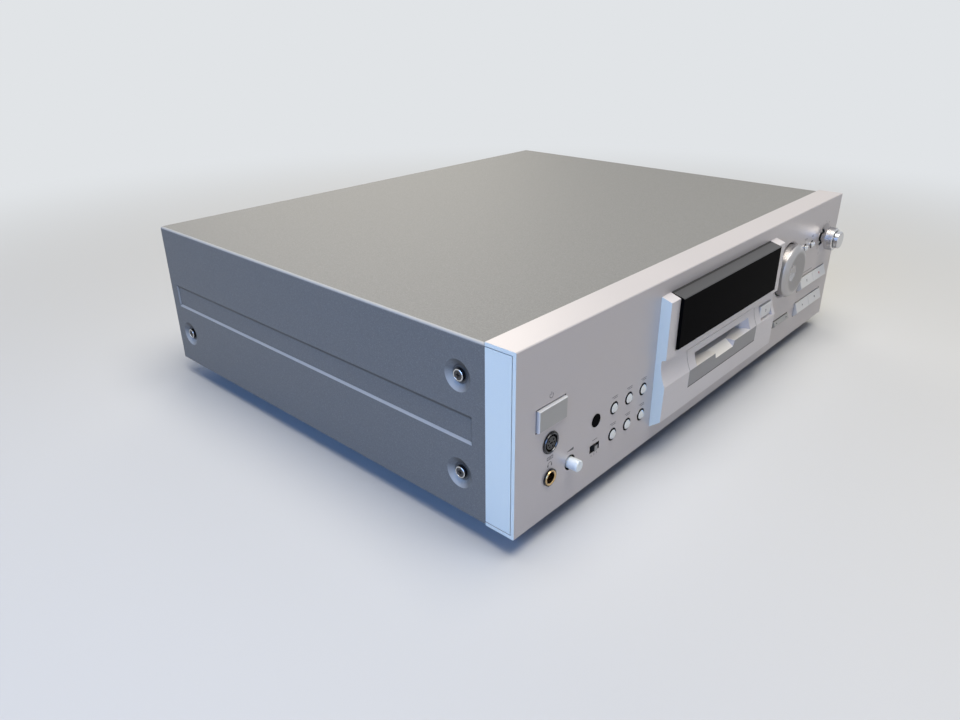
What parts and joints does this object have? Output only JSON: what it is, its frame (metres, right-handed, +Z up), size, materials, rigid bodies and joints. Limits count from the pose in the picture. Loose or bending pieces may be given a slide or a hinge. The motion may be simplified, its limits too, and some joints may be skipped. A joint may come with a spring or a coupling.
{
  "type": "minidisc deck",
  "caption": "Full-width minidisc recorder deck: satin fascia with a raised display and disc slot, jog dial, level knobs, and a dark folded-steel cover on round feet.",
  "frame": {"origin": "on the floor, under the middle of the whole deck's box, knobs and sockets included", "axes": "+X to the right along the fascia, +Y from the fascia to the rear, +Z up"},
  "size_m": [0.44, 0.372, 0.1225],
  "materials": {
    "grey_paint": "fine metallic texture",
    "satin_fascia": "satin",
    "zinc_steel": "satin",
    "rear_paint": "semi-matte",
    "cap_silver": "satin metallic",
    "smoked_window": "gloss",
    "grey_plastic": "satin",
    "black_plastic": "matte",
    "tube_glass": "gloss",
    "board_green": "semi-gloss",
    "silver_keys": "satin metallic",
    "turned_aluminium": "turned",
    "bright_steel": "polished",
    "gold_plate": "polished",
    "gear_plastic": "matte",
    "rubber": "matte",
    "core_steel": "lacquered",
    "black_screws": "semi-matte",
    "foot_plastic": "matte"
  },
  "bodies": {
    "casing": {"ac_inlet": "black_plastic", "case_screws": "bright_steel", "chassis_base": "zinc_steel", "control_board": "board_green", "cover_screws": "black_screws", "disc_slot_insert": "grey_plastic", "display_bridge": "satin_fascia", "display_tube": "tube_glass", "display_window": "smoked_window", "drive_chassis": "zinc_steel", "drive_dampers": "rubber", "end_cap_left": "cap_silver", "end_cap_right": "cap_silver", "feet": "foot_plastic", "front_panel": "satin_fascia", "guide_shafts": "bright_steel", "jog_encoder": "black_plastic", "keyboard_jack": "black_plastic", "line_jacks": "gold_plate", "loading_motor": "zinc_steel", "main_board": "board_green", "optical_jacks": "black_plastic", "phones_jack": "gold_plate", "phones_level_pot": "black_plastic", "power_transformer": "core_steel", "rear_panel": "rear_paint", "rec_level_pot": "black_plastic", "remote_window": "smoked_window", "sled_motor": "zinc_steel", "spindle_motor": "zinc_steel", "top_cover": "grey_paint"},
    "disc_holder": {"disc_holder": "zinc_steel"},
    "cam_slider": {"cam_slider": "zinc_steel"},
    "head_arm": {"head_arm": "zinc_steel"},
    "slot_flap": {"slot_flap": "black_plastic"},
    "timer_lever": {"timer_lever": "black_plastic"},
    "pickup_sled": {"pickup_sled": "black_plastic"},
    "power_button": {"power_button": "silver_keys"},
    "eject_button": {"eject_button": "silver_keys"},
    "edit_button_1": {"edit_button_1": "silver_keys"},
    "edit_button_2": {"edit_button_2": "silver_keys"},
    "edit_button_3": {"edit_button_3": "silver_keys"},
    "edit_button_4": {"edit_button_4": "silver_keys"},
    "edit_button_5": {"edit_button_5": "silver_keys"},
    "edit_button_6": {"edit_button_6": "silver_keys"},
    "input_button_1": {"input_button_1": "silver_keys"},
    "input_button_2": {"input_button_2": "silver_keys"},
    "search_rocker": {"search_rocker": "silver_keys"},
    "pause_button": {"pause_button": "silver_keys"},
    "play_button": {"play_button": "silver_keys"},
    "stop_button": {"stop_button": "silver_keys"},
    "record_button": {"record_button": "silver_keys"},
    "jog_dial": {"jog_dial": "turned_aluminium"},
    "rec_level_ring": {"rec_level_ring": "turned_aluminium"},
    "rec_level_knob": {"rec_level_knob": "turned_aluminium"},
    "phones_level_knob": {"phones_level_knob": "turned_aluminium"},
    "jog_shaft": {"jog_shaft": "bright_steel"},
    "lead_screw": {"lead_screw": "bright_steel"},
    "turntable": {"turntable": "bright_steel"},
    "loading_gear": {"loading_gear": "gear_plastic"}
  },
  "joints": [
    {"name": "power_press", "type": "slide", "parent": "casing", "child": "power_button", "axis": [0, 1, 0], "range_m": [0, 0.0008], "stiffness_N_per_m": 900, "springref_m": -0.0004},
    {"name": "edit_1_press", "type": "slide", "parent": "casing", "child": "edit_button_1", "axis": [0, 1, 0], "range_m": [0, 0.0008], "stiffness_N_per_m": 900, "springref_m": -0.0004},
    {"name": "edit_2_press", "type": "slide", "parent": "casing", "child": "edit_button_2", "axis": [0, 1, 0], "range_m": [0, 0.0008], "stiffness_N_per_m": 900, "springref_m": -0.0004},
    {"name": "edit_3_press", "type": "slide", "parent": "casing", "child": "edit_button_3", "axis": [0, 1, 0], "range_m": [0, 0.0008], "stiffness_N_per_m": 900, "springref_m": -0.0004},
    {"name": "edit_4_press", "type": "slide", "parent": "casing", "child": "edit_button_4", "axis": [0, 1, 0], "range_m": [0, 0.0008], "stiffness_N_per_m": 900, "springref_m": -0.0004},
    {"name": "edit_5_press", "type": "slide", "parent": "casing", "child": "edit_button_5", "axis": [0, 1, 0], "range_m": [0, 0.0008], "stiffness_N_per_m": 900, "springref_m": -0.0004},
    {"name": "edit_6_press", "type": "slide", "parent": "casing", "child": "edit_button_6", "axis": [0, 1, 0], "range_m": [0, 0.0008], "stiffness_N_per_m": 900, "springref_m": -0.0004},
    {"name": "input_1_press", "type": "slide", "parent": "casing", "child": "input_button_1", "axis": [0, 1, 0], "range_m": [0, 0.0008], "stiffness_N_per_m": 900, "springref_m": -0.0004},
    {"name": "input_2_press", "type": "slide", "parent": "casing", "child": "input_button_2", "axis": [0, 1, 0], "range_m": [0, 0.0008], "stiffness_N_per_m": 900, "springref_m": -0.0004},
    {"name": "record_press", "type": "slide", "parent": "casing", "child": "record_button", "axis": [0, 1, 0], "range_m": [0, 0.0008], "stiffness_N_per_m": 900, "springref_m": -0.0004},
    {"name": "pause_press", "type": "slide", "parent": "casing", "child": "pause_button", "axis": [0, 1, 0], "range_m": [0, 0.0008], "stiffness_N_per_m": 900, "springref_m": -0.0004},
    {"name": "play_press", "type": "slide", "parent": "casing", "child": "play_button", "axis": [0, 1, 0], "range_m": [0, 0.0008], "stiffness_N_per_m": 900, "springref_m": -0.0004},
    {"name": "stop_press", "type": "slide", "parent": "casing", "child": "stop_button", "axis": [0, 1, 0], "range_m": [0, 0.0008], "stiffness_N_per_m": 900, "springref_m": -0.0004},
    {"name": "eject_press", "type": "slide", "parent": "casing", "child": "eject_button", "axis": [0, 1, 0], "range_m": [0, 0.0008], "stiffness_N_per_m": 900, "springref_m": -0.0004},
    {"name": "search_tilt", "type": "hinge", "parent": "casing", "child": "search_rocker", "pos_m": [0.12, -0.165, 0.0349], "axis": [0, 0, 1], "range_deg": [-3, 3], "stiffness_Nm_per_rad": 0.12},
    {"name": "jog_press", "type": "slide", "parent": "casing", "child": "jog_shaft", "axis": [0, 1, 0], "range_m": [0, 0.0005], "stiffness_N_per_m": 2500, "springref_m": -0.0004},
    {"name": "jog_turn", "type": "hinge", "parent": "jog_shaft", "child": "jog_dial", "pos_m": [0.117, -0.172, 0.079], "axis": [0, 1, 0], "continuous": true},
    {"name": "rec_level_ring_turn", "type": "hinge", "parent": "casing", "child": "rec_level_ring", "pos_m": [0.192, -0.172, 0.0895], "axis": [0, 1, 0], "range_deg": [-150, 150]},
    {"name": "rec_level_knob_turn", "type": "hinge", "parent": "casing", "child": "rec_level_knob", "pos_m": [0.192, -0.172, 0.0895], "axis": [0, 1, 0], "range_deg": [-150, 150]},
    {"name": "phones_level_turn", "type": "hinge", "parent": "casing", "child": "phones_level_knob", "pos_m": [-0.1715, -0.172, 0.0385], "axis": [0, 1, 0], "range_deg": [-150, 150]},
    {"name": "timer_slide", "type": "slide", "parent": "casing", "child": "timer_lever", "axis": [1, 0, 0], "range_m": [-0.0028, 0.0028]},
    {"name": "flap_swing", "type": "hinge", "parent": "casing", "child": "slot_flap", "pos_m": [0, -0.1675, 0.0612], "axis": [1, 0, 0], "range_deg": [0, 85], "stiffness_Nm_per_rad": 0.0006, "springref_deg": -17.19},
    {"name": "cam_slide", "type": "slide", "parent": "casing", "child": "cam_slider", "axis": [0, 1, 0], "range_m": [0, 0.012]},
    {"name": "holder_drop", "type": "slide", "parent": "casing", "child": "disc_holder", "axis": [0, 0, -1], "range_m": [0, 0.0045]},
    {"name": "loading_gear_turn", "type": "hinge", "parent": "casing", "child": "loading_gear", "pos_m": [-0.0426, -0.062, 0.0453], "axis": [1, 0, 0], "range_deg": [-137.51, 0]},
    {"name": "head_lower", "type": "hinge", "parent": "casing", "child": "head_arm", "pos_m": [0, -0.046, 0.0671], "axis": [1, 0, 0], "range_deg": [0, 10]},
    {"name": "disc_spin", "type": "hinge", "parent": "casing", "child": "turntable", "pos_m": [0, -0.096, 0.0425], "axis": [0, 0, 1], "continuous": true},
    {"name": "sled_travel", "type": "slide", "parent": "casing", "child": "pickup_sled", "axis": [0, 1, 0], "range_m": [0, 0.017]},
    {"name": "lead_screw_turn", "type": "hinge", "parent": "casing", "child": "lead_screw", "pos_m": [0.024, -0.072, 0.0423], "axis": [0, 1, 0], "range_deg": [0, 1530.1]}
  ],
  "couplings": [
    {"joint": "holder_drop", "follows": "cam_slide", "ratio": 0.375},
    {"joint": "loading_gear_turn", "follows": "cam_slide", "rad_per_m": -200},
    {"joint": "head_lower", "follows": "cam_slide", "rad_per_m": 14.544},
    {"joint": "lead_screw_turn", "follows": "sled_travel", "rad_per_m": 1570.8}
  ]
}
